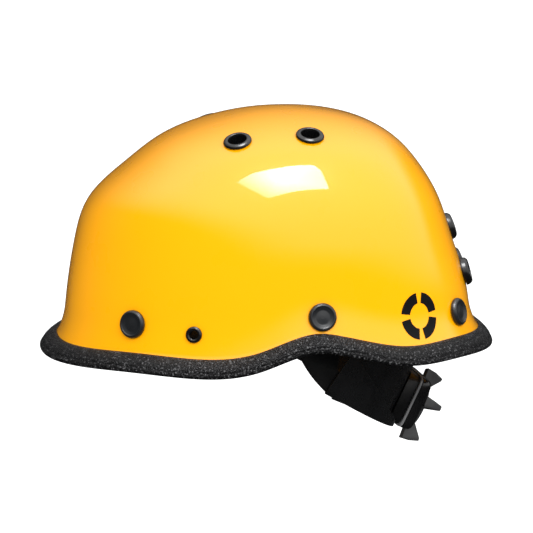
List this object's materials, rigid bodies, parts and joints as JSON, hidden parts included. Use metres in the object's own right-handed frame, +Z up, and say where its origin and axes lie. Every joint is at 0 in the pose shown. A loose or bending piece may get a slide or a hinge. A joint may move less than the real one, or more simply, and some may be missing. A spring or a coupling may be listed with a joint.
{
  "type": "water rescue helmet",
  "caption": "Hard-shell water rescue helmet with flared rubber-edged brim, vent grommets, foam liner, strap cradle and a ratchet-adjusted nape harness.",
  "frame": {"origin": "centre line of the shell, in the base plane of its side walls, under the middle of the head", "axes": "+Z up, -Y towards the front of the helmet, +X towards the wearer's left side"},
  "size_m": [0.2486, 0.3043, 0.2318],
  "materials": {
    "shell_yellow": "high gloss",
    "trim_rubber": "fine grained",
    "foam": "matt closed-cell foam",
    "black_plastic": "satin gloss",
    "satin_plastic": "satin",
    "knob_grey": "satin",
    "light_strip": "satin",
    "webbing": "woven",
    "pad_fabric": "brushed",
    "steel": "plain"
  },
  "bodies": {
    "helmet": {"brow_sweatband": "pad_fabric", "buckle_socket": "black_plastic", "chin_strap_left": "webbing", "chin_strap_right": "webbing", "cradle_hanger_front_left": "satin_plastic", "cradle_hanger_front_right": "satin_plastic", "cradle_hanger_middle_left": "satin_plastic", "cradle_hanger_middle_right": "satin_plastic", "cradle_hanger_rear_left": "satin_plastic", "cradle_hanger_rear_right": "satin_plastic", "crown_grommet_front_left": "black_plastic", "crown_grommet_front_right": "black_plastic", "crown_grommet_rear_left": "black_plastic", "crown_grommet_rear_right": "black_plastic", "crown_strap_left": "webbing", "crown_strap_right": "webbing", "drain_eyelet_left": "black_plastic", "drain_eyelet_right": "black_plastic", "edge_trim": "trim_rubber", "headband": "satin_plastic", "impact_liner": "foam", "pivot_pin_left": "steel", "pivot_pin_right": "steel", "plug_cap_front_left": "black_plastic", "plug_cap_front_right": "black_plastic", "plug_cap_middle_left": "black_plastic", "plug_cap_middle_right": "black_plastic", "plug_cap_rear_left": "black_plastic", "plug_cap_rear_right": "black_plastic", "plug_nut_front_left": "satin_plastic", "plug_nut_front_right": "satin_plastic", "plug_nut_middle_left": "satin_plastic", "plug_nut_middle_right": "satin_plastic", "plug_nut_rear_left": "satin_plastic", "plug_nut_rear_right": "satin_plastic", "rear_grommet_lower_left": "black_plastic", "rear_grommet_lower_right": "black_plastic", "rear_grommet_middle": "black_plastic", "rear_grommet_upper_left": "black_plastic", "rear_grommet_upper_right": "black_plastic", "rear_strap_left": "webbing", "rear_strap_right": "webbing", "shell": "shell_yellow", "strap_slider_left": "black_plastic", "strap_slider_right": "black_plastic"},
    "nape_yoke": {"nape_arm_left": "black_plastic", "nape_arm_right": "black_plastic", "nape_wing_left": "satin_plastic", "nape_wing_right": "satin_plastic"},
    "nape_unit": {"nape_band": "satin_plastic", "nape_pad": "pad_fabric", "ratchet_base": "black_plastic", "adjuster_plate": "light_strip", "ratchet_housing": "black_plastic", "click_spring": "steel"},
    "knob": {"ratchet_knob": "knob_grey", "ratchet_pinion": "satin_plastic"},
    "rack_upper_body": {"rack_upper": "satin_plastic"},
    "rack_lower_body": {"rack_lower": "satin_plastic"},
    "buckle": {"buckle_plug": "black_plastic"}
  },
  "joints": [
    {"name": "nape_tilt", "type": "hinge", "parent": "helmet", "child": "nape_yoke", "pos_m": [0, 0.015, 0.031], "axis": [1, 0, 0], "range_deg": [-8, 12]},
    {"name": "size_slide", "type": "slide", "parent": "nape_yoke", "child": "nape_unit", "axis": [0, -0.9018, 0.4321], "range_m": [0, 0.022]},
    {"name": "knob_turn", "type": "hinge", "parent": "nape_unit", "child": "knob", "pos_m": [0, 0.0929, -0.0474], "axis": [0, -0.9018, 0.4321], "range_deg": [0, 253]},
    {"name": "rack_upper_slide", "type": "slide", "parent": "nape_unit", "child": "rack_upper_body", "axis": [-1, 0, 0], "range_m": [0, 0.022]},
    {"name": "rack_lower_slide", "type": "slide", "parent": "nape_unit", "child": "rack_lower_body", "axis": [1, 0, 0], "range_m": [0, 0.022]},
    {"name": "buckle_pull", "type": "slide", "parent": "helmet", "child": "buckle", "axis": [-1, 0, 0], "range_m": [0, 0.018], "deforming": ["chin_strap_right"]}
  ],
  "couplings": [
    {"joint": "knob_turn", "follows": "size_slide", "rad_per_m": 200},
    {"joint": "rack_upper_slide", "follows": "size_slide", "ratio": 1},
    {"joint": "rack_lower_slide", "follows": "size_slide", "ratio": 1}
  ]
}
